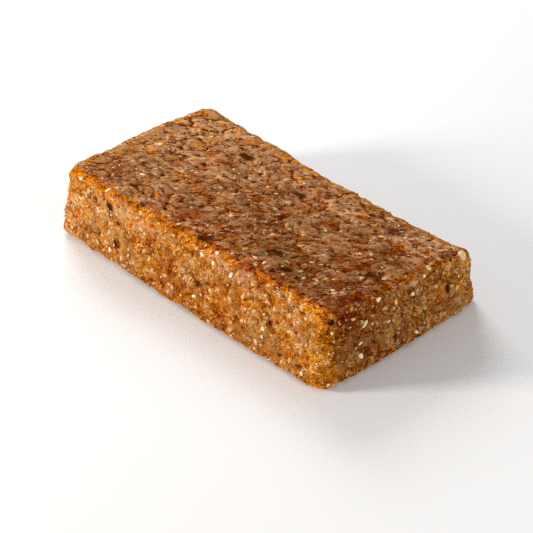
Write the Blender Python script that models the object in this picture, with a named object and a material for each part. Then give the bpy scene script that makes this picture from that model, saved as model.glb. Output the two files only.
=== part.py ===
"""A pressed date and nut bar, lying flat.

It is one dense solid: a slab with rounded edges and uneven corners, a pressed top with shallow dents,
cut sides with crags, and chopped nuts that stand a little out of it. Metres, +Z up, with the origin at
the middle of the underside. The bar's length runs along X, its front long side faces -Y and the end that
shows faces +X.
"""

from math import cos, pi, radians, sin, sqrt, tau
import random

import bmesh
import bpy
from mathutils import Matrix, Vector, noise
from mathutils.bvhtree import BVHTree

MM = 0.001

# The slab, before its corners are moved
LENGTH = 80.0 * MM
WIDTH = 41.0 * MM
THICKNESS = 16.0 * MM
UPRIGHT_ROUND = 3.0 * MM
TOP_ROUND = 1.8 * MM
FOOT_ROUND = 1.4 * MM

# Where each corner's top and foot really lie, and how high its top is
LEFT_FRONT = {"top": (-39.0, -20.6), "foot": (-40.6, -21.8), "height": 16.3}
LEFT_BACK = {"top": (-39.0, 21.0), "foot": (-39.0, 21.2), "height": 15.1}
RIGHT_BACK = {"top": (40.0, 20.3), "foot": (39.0, 24.0), "height": 14.2}
RIGHT_FRONT = {"top": (39.0, -20.6), "foot": (40.8, -23.4), "height": 17.6}

# How far the middle of each side stands out between its corners
FRONT_TOP_BULGE = -1.4 * MM
FRONT_FOOT_BULGE = 0.8 * MM
LEFT_TOP_BULGE = 1.0 * MM
LEFT_FOOT_BULGE = 0.5 * MM
RIGHT_FOOT_BULGE = 1.0 * MM

# How far the middle of each top edge rises above its corners
FRONT_RISE = -0.8 * MM
BACK_RISE = -1.6 * MM
RIGHT_RISE = 0.8 * MM

# Cells along the length, the width and the thickness, closer together near the edges
CELLS = (50, 26, 11)
EDGE_CROWDING = 0.26

# Relief, as the size of a lump and how deep the creases between lumps are
CRAG_SIZE = 4.2 * MM
CRAG_DEPTH = 0.85 * MM
GRAIN_SIZE = 2.3 * MM
GRAIN_DEPTH = 0.35 * MM
DENT_SIZE = 9.0 * MM
DENT_DEPTH = 0.45 * MM
TOP_GRAIN_SHARE = 0.35
# Crags keep this share of their depth at the foot, and have all of it from this height upwards
FOOT_CRAG_SHARE = 0.4
FOOT_BAND = 5.0 * MM

# Chopped nuts that stand out: the count on each face, and a piece's size
NUTS_ON_SIDES = 84
NUTS_ON_TOP = 26
NUT_LENGTH = (1.3 * MM, 2.5 * MM)
NUT_POINTS = 12
NUT_SUNK = 0.30
NUT_SPACING = 3.0 * MM

# The pieces that show best, each at its place on the cube (-1 to 1 along X, Y and Z), with its length and width
SHOWN_NUTS = (
    ((1.00, 0.86, 0.98), 3.0 * MM, 2.3 * MM),
    ((-0.68, -1.00, 0.97), 2.7 * MM, 1.2 * MM),
    ((-0.88, -1.00, 0.88), 2.2 * MM, 1.1 * MM),
    ((0.07, -1.00, 0.70), 1.8 * MM, 1.5 * MM),
    ((0.15, -1.00, 0.64), 1.9 * MM, 1.6 * MM),
    ((0.56, -1.00, -0.22), 2.4 * MM, 1.6 * MM),
    ((0.06, -1.00, -0.42), 2.4 * MM, 1.1 * MM),
    ((0.85, -1.00, -0.72), 1.9 * MM, 1.6 * MM),
    ((1.00, -0.32, 0.74), 1.8 * MM, 1.4 * MM),
    ((1.00, 0.12, 0.46), 2.0 * MM, 1.4 * MM),
    ((1.00, -0.50, 0.28), 2.6 * MM, 1.2 * MM),
    ((1.00, 0.12, -0.62), 2.3 * MM, 1.1 * MM),
    ((1.00, -0.53, -0.50), 2.2 * MM, 1.5 * MM),
    ((0.99, 0.40, 0.98), 2.2 * MM, 1.9 * MM),
    ((-1.00, 0.86, 0.98), 1.9 * MM, 1.4 * MM),
)

PASTE_COLOUR = (0.36, 0.15, 0.045, 1.0)
SEED = 7


def clear_scene():
    for old in list(bpy.data.objects):
        bpy.data.objects.remove(old)


def new_collection(name):
    collection = bpy.data.collections.new(name)
    bpy.context.scene.collection.children.link(collection)
    return collection


def paste_material():
    material = bpy.data.materials.new("date_and_nut_paste")
    material.use_nodes = True
    shader = material.node_tree.nodes["Principled BSDF"]
    shader.inputs["Base Color"].default_value = PASTE_COLOUR
    shader.inputs["Roughness"].default_value = 0.45
    shader.inputs["Metallic"].default_value = 0.0
    return material


def cut_along(bm, axis, cells):
    """Cuts every edge that runs along one axis into equal cells."""
    along = [e for e in bm.edges if abs((e.verts[0].co - e.verts[1].co)[axis]) > 0.01]
    bmesh.ops.subdivide_edges(bm, edges=along, cuts=cells - 1, use_grid_fill=True)


def crowd(share):
    """Moves a place between -1 and 1 towards the nearer end, where the rounded edges need more cells."""
    return share + EDGE_CROWDING * share * (1 - share * share)


def rounded_slab(place):
    """The point of the regular slab with rounded edges that belongs to a place on the cube."""
    half = Vector((LENGTH, WIDTH, THICKNESS)) / 2
    edge = TOP_ROUND if place.z > 0 else FOOT_ROUND
    radii = Vector((UPRIGHT_ROUND, UPRIGHT_ROUND, edge))
    core, offset = Vector(), Vector()
    for axis in range(3):
        reach = half[axis] - radii[axis]
        spot = place[axis] * half[axis]
        core[axis] = max(-reach, min(reach, spot))
        offset[axis] = (spot - core[axis]) / radii[axis]
    offset.normalize()
    return core + Vector(offset[axis] * radii[axis] for axis in range(3))


def between_corners(along, across, key):
    """A corner value, blended over the plan: along and across run from -1 to 1."""
    shares = (
        (LEFT_FRONT, (1 - along) * (1 - across)),
        (LEFT_BACK, (1 - along) * (1 + across)),
        (RIGHT_BACK, (1 + along) * (1 + across)),
        (RIGHT_FRONT, (1 + along) * (1 - across)),
    )
    if key == "height":
        return sum(corner[key] * share for corner, share in shares) / 4 * MM
    return sum((Vector(corner[key]) * share for corner, share in shares), Vector((0, 0))) / 4 * MM


def uneven(point):
    """Moves a point of the regular slab to where it lies on the real, uneven bar."""
    along = 2 * point.x / LENGTH
    across = 2 * point.y / WIDTH
    up = point.z / THICKNESS + 0.5
    foot = between_corners(along, across, "foot")
    top = between_corners(along, across, "top")
    plan = foot.lerp(top, up)
    mid_long = 1 - along * along
    mid_short = 1 - across * across
    front, back = (1 - across) / 2, (1 + across) / 2
    left, right = (1 - along) / 2, (1 + along) / 2
    plan.y -= front * mid_long * (FRONT_FOOT_BULGE + (FRONT_TOP_BULGE - FRONT_FOOT_BULGE) * up)
    plan.x -= left * mid_short * (LEFT_FOOT_BULGE + (LEFT_TOP_BULGE - LEFT_FOOT_BULGE) * up)
    plan.x += right * mid_short * RIGHT_FOOT_BULGE * (1 - up)
    height = between_corners(along, across, "height")
    height += mid_long * (front * FRONT_RISE + back * BACK_RISE) + mid_short * right * RIGHT_RISE
    return Vector((plan.x, plan.y, height * up))


def lumps(point, size):
    """Rounded lumps with creases between them: near 0.5 on a lump and -0.5 in a crease."""
    nearest = noise.voronoi(point / size)[0][0]
    return 0.5 - 1.15 * nearest


def relief(point, normal):
    """How far the surface stands out at a point: crags on the sides, and dents with flattened grain on the top."""
    topness = max(0.0, normal.z) ** 2
    crags = CRAG_DEPTH * lumps(point, CRAG_SIZE) + GRAIN_DEPTH * lumps(point, GRAIN_SIZE)
    crags *= FOOT_CRAG_SHARE + (1 - FOOT_CRAG_SHARE) * min(1.0, point.z / FOOT_BAND)
    dents = DENT_DEPTH * noise.noise(point / DENT_SIZE)
    dents += TOP_GRAIN_SHARE * (GRAIN_DEPTH + CRAG_DEPTH) * min(0.1, lumps(point, GRAIN_SIZE))
    return crags * (1 - topness) + dents * topness


def carve_relief(bm):
    bm.normal_update()
    moved = {}
    for vert in bm.verts:
        if vert.co.z > FOOT_ROUND / 50:
            moved[vert] = vert.co + vert.normal * relief(vert.co, vert.normal)
    for vert, place in moved.items():
        place.z = max(0.0, place.z)
        vert.co = place


def simplify_underside(bm):
    """Joins the level cells of the underside into one face."""
    level = [f for f in bm.faces if all(v.co.z < FOOT_ROUND / 1000 for v in f.verts)]
    inner = {e for f in level for e in f.edges}
    corners = {v for f in level for v in f.verts}
    bmesh.ops.dissolve_limit(bm, angle_limit=radians(1), verts=list(corners), edges=list(inner))


def slab_mesh():
    bm = bmesh.new()
    bmesh.ops.create_cube(bm, size=2.0)
    for axis, cells in enumerate(CELLS):
        cut_along(bm, axis, cells)
    for vert in bm.verts:
        place = Vector(crowd(share) for share in vert.co)
        vert.co = uneven(rounded_slab(place))
    carve_relief(bm)
    simplify_underside(bm)
    bmesh.ops.triangulate(bm, faces=bm.faces)
    return bm


def nut_mesh(length, width, rng):
    """A piece of chopped nut: the hull of points spread round a flattened egg, each pushed in or out a little."""
    bm = bmesh.new()
    golden = pi * (3 - sqrt(5))
    for i in range(NUT_POINTS):
        level = 1 - 2 * (i + 0.5) / NUT_POINTS
        ring = sqrt(1 - level * level)
        reach = rng.uniform(0.82, 1.0)
        turn = i * golden + rng.uniform(-0.2, 0.2)
        spot = Vector((ring * cos(turn) * length, ring * sin(turn) * width, level * width * 0.8))
        bm.verts.new(spot * reach / 2)
    bmesh.ops.convex_hull(bm, input=bm.verts)
    bm.normal_update()
    return bm


def nut_places(rng):
    """The hand-set pieces, then places drawn so that each lies clear of the ones before it."""
    places = [(uneven(rounded_slab(Vector(spot))), length, width) for spot, length, width in SHOWN_NUTS]
    long_share = LENGTH / (LENGTH + WIDTH)

    def draw(on_top):
        a, b = rng.uniform(-0.97, 0.97), rng.uniform(-0.93, 0.93)
        if on_top:
            return Vector((a, b, 1))
        side = rng.choice((-1, 1))
        level = rng.uniform(-0.72, 0.9)
        return Vector((a, side, level)) if rng.random() < long_share else Vector((side, b, level))

    for wanted, on_top in ((NUTS_ON_SIDES, False), (NUTS_ON_TOP, True)):
        goal = len(places) + wanted
        while len(places) < goal:
            spot = uneven(rounded_slab(draw(on_top)))
            if all((spot - other[0]).length > NUT_SPACING for other in places):
                length = rng.uniform(*NUT_LENGTH)
                places.append((spot, length, length * rng.uniform(0.5, 0.85)))
    return places


def add_nuts(slab, collection):
    """Sets each chopped nut on the slab, lying along the surface and partly sunk in it."""
    rng = random.Random(SEED)
    surface = BVHTree.FromBMesh(slab)
    for number, (spot, length, width) in enumerate(nut_places(rng)):
        place, normal, _, _ = surface.find_nearest(spot)
        turn = Matrix.Rotation(rng.uniform(0, tau), 4, "Z")
        stand = normal.to_track_quat("Z", "X").to_matrix().to_4x4()
        bm = nut_mesh(length, width, rng)
        bm.transform(Matrix.Translation(place - normal * width * NUT_SUNK / 2) @ stand @ turn)
        mesh = bpy.data.meshes.new(f"nut_{number:03d}")
        bm.to_mesh(mesh)
        bm.free()
        collection.objects.link(bpy.data.objects.new(mesh.name, mesh))


def fuse(bar, nuts):
    """Joins the nuts to the bar as one closed solid, and removes their own objects."""
    joint = bar.modifiers.new("fuse_nuts", "BOOLEAN")
    joint.operation = "UNION"
    joint.operand_type = "COLLECTION"
    joint.collection = nuts
    joint.solver = "EXACT"
    bpy.context.view_layer.objects.active = bar
    bpy.ops.object.modifier_apply(modifier=joint.name)
    for nut in list(nuts.objects):
        bpy.data.objects.remove(nut)
    bpy.data.collections.remove(nuts)


def rest_on_origin(mesh):
    """Moves the mesh so that the origin is the middle of its box at the underside."""
    spots = [v.co for v in mesh.vertices]
    low = Vector(min(s[axis] for s in spots) for axis in range(3))
    high = Vector(max(s[axis] for s in spots) for axis in range(3))
    mesh.transform(Matrix.Translation(Vector((-(low.x + high.x) / 2, -(low.y + high.y) / 2, -low.z))))


def build():
    clear_scene()
    product = new_collection("granola_bar")
    nuts = new_collection("chopped_nuts")
    slab = slab_mesh()
    add_nuts(slab, nuts)
    mesh = bpy.data.meshes.new("granola_bar")
    slab.to_mesh(mesh)
    slab.free()
    bar = bpy.data.objects.new("granola_bar", mesh)
    product.objects.link(bar)
    fuse(bar, nuts)
    rest_on_origin(bar.data)
    bar.data.materials.clear()
    bar.data.materials.append(paste_material())
    bar.data.shade_smooth()
    bar.data.set_sharp_from_angle(angle=radians(40))


build()
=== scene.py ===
"""The looks of a pressed date and nut bar: paste, chopped nuts, date bits and syrup, on a pale floor.

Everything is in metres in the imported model's frame: the bar's length runs along X, its front long side
faces -Y, the end that shows faces +X, and it lies on z = 0.
"""

import random
from math import cos, pi, radians, sin, sqrt, tau

import bmesh
import bpy
import numpy as np
from mathutils import Matrix, Vector, noise
from mathutils.bvhtree import BVHTree


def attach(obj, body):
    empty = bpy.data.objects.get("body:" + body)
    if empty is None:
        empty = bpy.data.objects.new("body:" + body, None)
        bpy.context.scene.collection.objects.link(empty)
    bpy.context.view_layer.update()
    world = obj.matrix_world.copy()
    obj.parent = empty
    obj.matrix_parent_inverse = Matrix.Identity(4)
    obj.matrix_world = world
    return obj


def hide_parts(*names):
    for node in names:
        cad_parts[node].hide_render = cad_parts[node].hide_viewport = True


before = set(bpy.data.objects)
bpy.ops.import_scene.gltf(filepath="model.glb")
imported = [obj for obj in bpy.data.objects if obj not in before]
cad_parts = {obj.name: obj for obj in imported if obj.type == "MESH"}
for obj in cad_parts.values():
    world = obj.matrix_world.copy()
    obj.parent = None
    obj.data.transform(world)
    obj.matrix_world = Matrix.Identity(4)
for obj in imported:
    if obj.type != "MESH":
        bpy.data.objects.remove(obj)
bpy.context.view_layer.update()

MM = 0.001

# The slab as the solid has it
LENGTH = 80.0 * MM
WIDTH = 41.0 * MM
THICKNESS = 16.0 * MM
UPRIGHT_ROUND = 3.0 * MM
TOP_ROUND = 1.8 * MM
FOOT_ROUND = 1.4 * MM
LEFT_FRONT = {"top": (-39.0, -20.6), "foot": (-40.6, -21.8), "height": 16.3}
LEFT_BACK = {"top": (-39.0, 21.0), "foot": (-39.0, 21.2), "height": 15.1}
RIGHT_BACK = {"top": (40.0, 20.3), "foot": (39.0, 24.0), "height": 14.2}
RIGHT_FRONT = {"top": (39.0, -20.6), "foot": (40.8, -23.4), "height": 17.6}
FRONT_TOP_BULGE = -1.4 * MM
FRONT_FOOT_BULGE = 0.8 * MM
LEFT_TOP_BULGE = 1.0 * MM
LEFT_FOOT_BULGE = 0.5 * MM
RIGHT_FOOT_BULGE = 1.0 * MM
FRONT_RISE = -0.8 * MM
BACK_RISE = -1.6 * MM
RIGHT_RISE = 0.8 * MM
CRAG_SIZE = 4.2 * MM
CRAG_DEPTH = 0.85 * MM
GRAIN_SIZE = 2.3 * MM
GRAIN_DEPTH = 0.35 * MM
DENT_SIZE = 9.0 * MM
DENT_DEPTH = 0.45 * MM
TOP_GRAIN_SHARE = 0.35
FOOT_CRAG_SHARE = 0.4
FOOT_BAND = 5.0 * MM
# The middle of the solid's box, seen from the middle of the regular slab
BOX_MIDDLE = Vector((0.209, 0.065, 0.0)) * MM

# Finer cells and finer relief than the solid's
CELLS = (278, 145, 58)
EDGE_CROWDING = 0.10
EDGE_BAND = 4.6 * MM
# The painted highlight along the front top edge, its lip: the edge share it starts from, how bright it is,
# and where it ends
LIP_FROM = 0.7
LIP_HIGHLIGHT = 0.8
LIP_ENDS = 0.93
FINE_GRAIN_SIZE = 1.2 * MM
CUT_GRAIN = 0.09 * MM
PRESSED_GRAIN = 0.14 * MM
PRESSED_FLAT = 0.05
ROUGH_SIZE = 1.5 * MM
# The roughness over its layers: what each finer one keeps of the height, how much finer it is, and how many
ROUGH_KEEPS = 0.5
ROUGH_FINER = 2.2
ROUGH_LAYERS = 3
CUT_ROUGH = 0.12 * MM
PRESSED_ROUGH = 0.10 * MM
PRESSED_ROUGH_MOST = 0.15
PRESSED_PITS = 0.6
# A face counts as pressed by how level it is
PRESSED_GAIN = 1.6
PRESSED_LESS = 0.5
# Stretches where the paste was smoothed and where it tore, and how little and how much grain they have
CALM_SIZE = 6.0 * MM
CALM_LEAST = 0.35
CALM_MOST = 1.5
CALM_MEAN = 0.9
CALM_SWING = 2.0
# How strong the mash's shades are on the cut sides and the top, what the top's gain to the right and to the
# front, and what the right end's gain
CONTRAST_CUT = 0.94
CONTRAST_TOP = 0.92
CONTRAST_ALONG = 0.26
CONTRAST_FRONT = 0.12
CONTRAST_END = 0.55
PIT_SIZE = 1.3 * MM
PIT_DEPTH = 1.8 * MM
PIT_SHARE = 0.34
ROLL_SIZE = 4.6 * MM
ROLL_DEPTH = 0.32 * MM
CREASE_SIZE = 5.0 * MM
CREASE_SHARE = 0.16
CREASE_DEPTH = 0.30 * MM
CREASE_CROWDED_UP = 1.8
CREASE_WIND = 0.4
# Where a crease breaks off: the finer noise that does it, its start, and how sharply it does
CREASE_BREAKS = 0.8
CREASE_BREAKS_FROM = Vector((7.0, 3.0, 5.0))
CREASE_WHOLE = 0.45
CREASE_SHARPLY = 2.0
# Pressing smears the top one way: its marks are long at this turn from the bar's length, and narrow across
SMEAR_TURN = radians(46.5)
SMEAR_LONG = 0.82
SMEAR_NARROW = 1.15
WARP_SIZE = 2.2 * MM
WARP_REACH = 0.8 * MM
LEVEL = 0.01 * MM
# Height over the surface round a point: smoothed this many times over, and this deep for the full shade
NEAR_ROUNDS = 8
WIDE_ROUNDS = 60
LIFT_NEAR = 0.09 * MM
LIFT_WIDE = 0.30 * MM
# Below this the foot's rounding stays as it is, so that the bar lies flat
STILL_BELOW = FOOT_ROUND / 50

# The chopped nuts of the solid, by the same rule
NUTS_ON_SIDES = 84
NUTS_ON_TOP = 26
NUT_LENGTH = (1.3 * MM, 2.5 * MM)
NUT_POINTS = 12
NUT_SUNK = 0.30
NUT_SPACING = 3.0 * MM
# The height above the paste at which a crumb is bare of it, and the step that spreads shades evenly
SMEAR = 0.16 * MM
GOLDEN = 0.618
SHOWN_NUTS = (
    ((1.00, 0.86, 0.98), 3.0 * MM, 2.3 * MM),
    ((-0.68, -1.00, 0.97), 2.7 * MM, 1.2 * MM),
    ((-0.88, -1.00, 0.88), 2.2 * MM, 1.1 * MM),
    ((0.07, -1.00, 0.70), 1.8 * MM, 1.5 * MM),
    ((0.15, -1.00, 0.64), 1.9 * MM, 1.6 * MM),
    ((0.56, -1.00, -0.22), 2.4 * MM, 1.6 * MM),
    ((0.06, -1.00, -0.42), 2.4 * MM, 1.1 * MM),
    ((0.85, -1.00, -0.72), 1.9 * MM, 1.6 * MM),
    ((1.00, -0.32, 0.74), 1.8 * MM, 1.4 * MM),
    ((1.00, 0.12, 0.46), 2.0 * MM, 1.4 * MM),
    ((1.00, -0.50, 0.28), 2.6 * MM, 1.2 * MM),
    ((1.00, 0.12, -0.62), 2.3 * MM, 1.1 * MM),
    ((1.00, -0.53, -0.50), 2.2 * MM, 1.5 * MM),
    ((0.99, 0.40, 0.98), 2.2 * MM, 1.9 * MM),
    ((-1.00, 0.86, 0.98), 1.9 * MM, 1.4 * MM),
)
SEED = 7

# Pale flakes too thin for the solid, each at its place on the cube, with its length, width and turn in
# degrees
SHOWN_FLAKES = (
    ((-0.64, -0.55, 1.0), 2.3 * MM, 1.1 * MM, 20),
    ((0.70, -0.40, 1.0), 1.5 * MM, 0.7 * MM, 40),
    ((0.85, -0.65, 1.0), 1.4 * MM, 0.8 * MM, 30),
    ((0.86, -0.28, 1.0), 1.3 * MM, 0.7 * MM, 50),
    ((0.84, 0.70, 1.0), 1.3 * MM, 0.8 * MM, 0),
    ((-0.12, 0.70, 1.0), 1.6 * MM, 0.9 * MM, 10),
    ((-0.06, 0.65, 1.0), 1.5 * MM, 0.9 * MM, 60),
    ((-0.82, 0.02, 1.0), 1.6 * MM, 0.9 * MM, 30),
    ((-0.80, 0.08, 1.0), 1.2 * MM, 0.7 * MM, 80),
    ((0.36, -0.82, 1.0), 1.5 * MM, 1.0 * MM, 0),
    ((0.43, -0.82, 1.0), 1.3 * MM, 0.9 * MM, 60),
    ((-0.59, -1.0, -0.60), 1.7 * MM, 0.9 * MM, 90),
    ((0.16, -1.0, 0.92), 1.5 * MM, 1.0 * MM, 10),
    ((0.29, -1.0, 0.60), 1.7 * MM, 1.2 * MM, 70),
    ((0.56, -1.0, -0.42), 1.6 * MM, 1.1 * MM, 20),
    ((0.60, -1.0, 0.05), 1.5 * MM, 1.0 * MM, 80),
    ((1.0, -0.72, -0.45), 1.6 * MM, 0.7 * MM, 60),
    ((1.0, 0.55, 0.62), 1.5 * MM, 0.9 * MM, 20),
    ((1.0, 0.75, 0.30), 1.3 * MM, 0.8 * MM, 70),
    ((1.0, -0.55, -0.15), 1.6 * MM, 0.8 * MM, 10),
    ((1.0, -0.18, 0.0), 1.4 * MM, 0.8 * MM, 30),
    ((1.0, 0.30, 0.80), 1.5 * MM, 1.0 * MM, 0),
)
# Dark spots of date flesh and skin, each at its place on the cube, with its length and width
SHOWN_DARKS = (
    ((0.02, -0.90, 1.0), 5.0 * MM, 4.0 * MM),
    ((0.40, -0.60, 1.0), 6.0 * MM, 5.0 * MM),
    ((0.57, -0.75, 1.0), 5.0 * MM, 3.6 * MM),
    ((0.90, -0.15, 1.0), 6.4 * MM, 3.8 * MM),
    ((0.00, 0.46, 1.0), 5.0 * MM, 3.4 * MM),
    ((0.09, 0.66, 1.0), 4.6 * MM, 3.0 * MM),
    ((0.59, 0.68, 1.0), 6.0 * MM, 2.8 * MM),
    ((-0.45, 0.55, 1.0), 5.0 * MM, 3.4 * MM),
    ((-0.64, -1.0, 0.55), 3.2 * MM, 2.6 * MM),
    ((-0.55, -1.0, -0.35), 3.0 * MM, 3.4 * MM),
    ((0.07, -1.0, -0.10), 3.6 * MM, 2.2 * MM),
    ((1.0, 0.60, 0.10), 3.0 * MM, 3.4 * MM),
    ((1.0, 0.43, 0.50), 2.6 * MM, 2.2 * MM),
    ((1.0, -0.78, 0.70), 2.4 * MM, 1.8 * MM),
    ((1.0, -0.92, 0.70), 2.2 * MM, 1.8 * MM),
)

# Cracks that show, each from one place on the cube to the next, and how far one opens from its middle
SHOWN_CRACKS = (
    (
        (-0.51, -1.0, 0.50),
        (-0.45, -1.0, 0.55),
        (-0.39, -1.0, 0.65),
        (-0.32, -1.0, 0.70),
        (-0.22, -1.0, 0.76),
    ),
    ((0.36, -1.0, 0.25), (0.45, -1.0, 0.35)),
    ((-0.20, -1.0, 0.52), (-0.12, -1.0, 0.50)),
    ((-0.43, -1.0, 0.02), (-0.37, -1.0, -0.02)),
    ((1.0, -0.25, 0.40), (1.0, -0.45, 0.05), (1.0, -0.57, 0.00)),
    ((1.0, -0.95, 0.62), (1.0, -0.70, 0.66)),
)
CRACK_REACH = 0.7 * MM

# Where the cut sides are duller with ground nut, and where they are redder with date, by place and size
SHOWN_NUTTY = (
    ((-0.62, -1.0, -0.25), 32.0 * MM, 13.0 * MM),
    ((0.55, -1.0, -0.45), 18.0 * MM, 8.0 * MM),
    ((1.0, -0.35, -0.20), 28.0 * MM, 14.0 * MM),
    ((0.45, -0.60, 1.0), 20.0 * MM, 12.0 * MM),
)
SHOWN_DATED = (
    ((-0.10, -1.0, -0.40), 16.0 * MM, 8.0 * MM),
    ((0.30, -1.0, 0.15), 14.0 * MM, 5.0 * MM),
    ((0.80, -1.0, 0.30), 8.0 * MM, 6.0 * MM),
    ((-0.20, -0.75, 1.0), 34.0 * MM, 8.0 * MM),
    ((1.0, 0.55, 0.0), 12.0 * MM, 10.0 * MM),
)
# Where the cut sides are paler: partly paler paste, partly a painted sheen and painted light on the upper
# bands of the front and the right end and up the left upright edge
SHOWN_PALER_AND_SHEEN = (
    ((-0.45, -1.0, 0.60), 30.0 * MM, 6.0 * MM),
    ((0.25, -1.0, 0.70), 26.0 * MM, 5.0 * MM),
    ((1.0, 0.10, 0.80), 18.0 * MM, 4.0 * MM),
    ((-1.0, -1.0, -0.20), 6.0 * MM, 18.0 * MM),
)
# A painted orange glow along the near upright edge, as if light showed through the paste there
SHOWN_UPRIGHT_GLOW = (
    ((1.0, -1.0, -0.70), 7.0 * MM, 9.0 * MM),
    ((1.0, -1.0, -0.20), 7.0 * MM, 9.0 * MM),
    ((1.0, -1.0, 0.30), 7.0 * MM, 9.0 * MM),
    ((1.0, -1.0, 0.80), 7.0 * MM, 9.0 * MM),
)
# How much lighter or darker the mash is in places, by how far that moves it along its ramp of shades: partly
# the mash's own tone, partly painted light and shade, the top lighter to the back and left and darker to the
# near right, the right end darker, and the front darker low down and lighter by the near upright edge
SHOWN_TONE_AND_LIGHT = (
    ((0.55, -0.62, 1.0), 70.0 * MM, 30.0 * MM, -0.075),
    ((0.15, 0.05, 1.0), 60.0 * MM, 20.0 * MM, -0.035),
    ((-0.85, 0.30, 1.0), 34.0 * MM, 50.0 * MM, 0.08),
    ((-0.20, 0.80, 1.0), 70.0 * MM, 20.0 * MM, 0.07),
    ((0.85, 0.75, 1.0), 26.0 * MM, 18.0 * MM, 0.07),
    ((1.0, 0.0, 0.0), 60.0 * MM, 40.0 * MM, -0.06),
    ((1.0, -0.62, 0.20), 20.0 * MM, 24.0 * MM, -0.12),
    ((1.0, -0.10, -0.60), 24.0 * MM, 12.0 * MM, -0.06),
    ((1.0, -0.72, 0.62), 10.0 * MM, 5.0 * MM, -0.12),
    ((1.0, 0.80, 0.0), 14.0 * MM, 18.0 * MM, 0.04),
    ((-0.10, -1.0, -0.70), 80.0 * MM, 14.0 * MM, -0.08),
    ((0.60, -1.0, -0.60), 50.0 * MM, 14.0 * MM, -0.04),
    ((-0.30, -1.0, 0.50), 24.0 * MM, 14.0 * MM, -0.05),
    ((0.25, -1.0, 0.50), 30.0 * MM, 12.0 * MM, -0.03),
    ((0.80, -1.0, 0.60), 20.0 * MM, 10.0 * MM, 0.03),
    ((1.0, -1.0, 0.30), 12.0 * MM, 24.0 * MM, 0.05),
)

# Small crumbs of each kind: how many there are, how long, how wide for their length, what share of them is on
# the cut sides, how far they stand out for their height, how high they are for their width, and the start of
# their random draw
SMALL_NUTS = {
    "count": 260,
    "lengths": (0.6 * MM, 1.3 * MM),
    "widths": (0.5, 0.9),
    "side_share": 0.75,
    "stand_out": 0.06,
    "flatness": 0.7,
    "seed": 11,
}
NUT_SPLINTERS = {
    "count": 170,
    "lengths": (1.2 * MM, 2.8 * MM),
    "widths": (0.2, 0.4),
    "side_share": 0.8,
    "stand_out": 0.05,
    "flatness": 0.7,
    "seed": 14,
}
NUT_MEAL = {
    "count": 3400,
    "lengths": (0.6 * MM, 1.7 * MM),
    "widths": (0.45, 0.85),
    "side_share": 0.92,
    "stand_out": 0.14,
    "flatness": 0.5,
    "seed": 12,
}
SYRUP_DROPS = {
    "count": 650,
    "lengths": (0.6 * MM, 1.8 * MM),
    "widths": (0.4, 0.8),
    "side_share": 0.92,
    "stand_out": 0.12,
    "flatness": 0.5,
    "seed": 15,
}
DATE_BITS = {
    "count": 70,
    "lengths": (1.0 * MM, 2.6 * MM),
    "widths": (0.3, 0.7),
    "side_share": 0.8,
    "stand_out": 0.04,
    "flatness": 0.3,
    "seed": 13,
}
CRUMB_CHOPS = 4
CRUMB_CHOPPED_AT = (0.4, 0.85)
CRUMB_TILT = 0.25
CRUMB_TURN = 1.2

# The real sizes of the paste's patterns, in millimetres, which their scales are worked out from
SMEAR_WAVE = 1.3
SMEAR_REACH = 1.6
GROUND_NUT = 0.45
MASH_LUMP = 1.7
SYRUP_STREAK = 1.2
DATE_SHRED = 3.0
DULL_PATCH = 7.0
WET_PATCH = 2.6
WET_FACET = 0.42
HAIR_CRACK = 2.2
NUT_SHARD = 1.8
NUT_GRAIN = 0.65
BUSY_PATCH = 4.5
SMALL_HOLE = 0.75
LARGE_FLAKE = 1.9
SMALL_FLAKE = 0.9
BUMP_HEIGHT = 0.5 * MM
CRUMB_MOTTLE = 0.4
CRUMB_SMEAR = 0.8
CRUMB_BUMP_HEIGHT = 0.15 * MM
# How far single shards and grains differ in shade, and the middle of the cut sides' shades
SHARD_DIFFERS = 0.08
GRAIN_DIFFERS = 0.14
CUT_MIDDLE = 0.514

# The camera that the photograph was taken with: how far it is turned round and raised, and what it looks at
CAMERA_TURN = radians(46.5)
CAMERA_RISE = radians(33.6)
CAMERA_DISTANCE = 600 * MM
CAMERA_LENS = 199.0
CAMERA_SENSOR = 36.0
CAMERA_TARGET = Vector((7.26, -6.57, 7.0)) * MM

# The soft lights, each with its watts, its size, its place and its colour, and the light from all round
LIGHTS = (
    ("window_left", 3.15, 0.12, (-0.30, -0.42, 0.15), "#FFF8F0"),
    ("sky_behind", 1.5, 0.22, (-0.36, 0.20, 0.26), "#FFFFFF"),
    ("card_right", 1.35, 0.14, (0.52, -0.06, 0.16), "#FFFFFF"),
)
LIGHTS_AIM = (0, 0, 0.01)
ALL_ROUND = 0.36
FLOOR_HALF = 3.0


def rounded_slab(place):
    """The point of the regular slab with rounded edges that belongs to a place on the cube."""
    half = Vector((LENGTH, WIDTH, THICKNESS)) / 2
    edge = TOP_ROUND if place.z > 0 else FOOT_ROUND
    radii = Vector((UPRIGHT_ROUND, UPRIGHT_ROUND, edge))
    core, offset = Vector(), Vector()
    for axis in range(3):
        reach = half[axis] - radii[axis]
        spot = place[axis] * half[axis]
        core[axis] = max(-reach, min(reach, spot))
        offset[axis] = (spot - core[axis]) / radii[axis]
    offset.normalize()
    return core + Vector(offset[axis] * radii[axis] for axis in range(3))


def between_corners(along, across, key):
    """A corner value, blended over the plan: along and across run from -1 to 1."""
    shares = (
        (LEFT_FRONT, (1 - along) * (1 - across)),
        (LEFT_BACK, (1 - along) * (1 + across)),
        (RIGHT_BACK, (1 + along) * (1 + across)),
        (RIGHT_FRONT, (1 + along) * (1 - across)),
    )
    if key == "height":
        return sum(corner[key] * share for corner, share in shares) / 4 * MM
    return sum((Vector(corner[key]) * share for corner, share in shares), Vector((0, 0))) / 4 * MM


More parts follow.
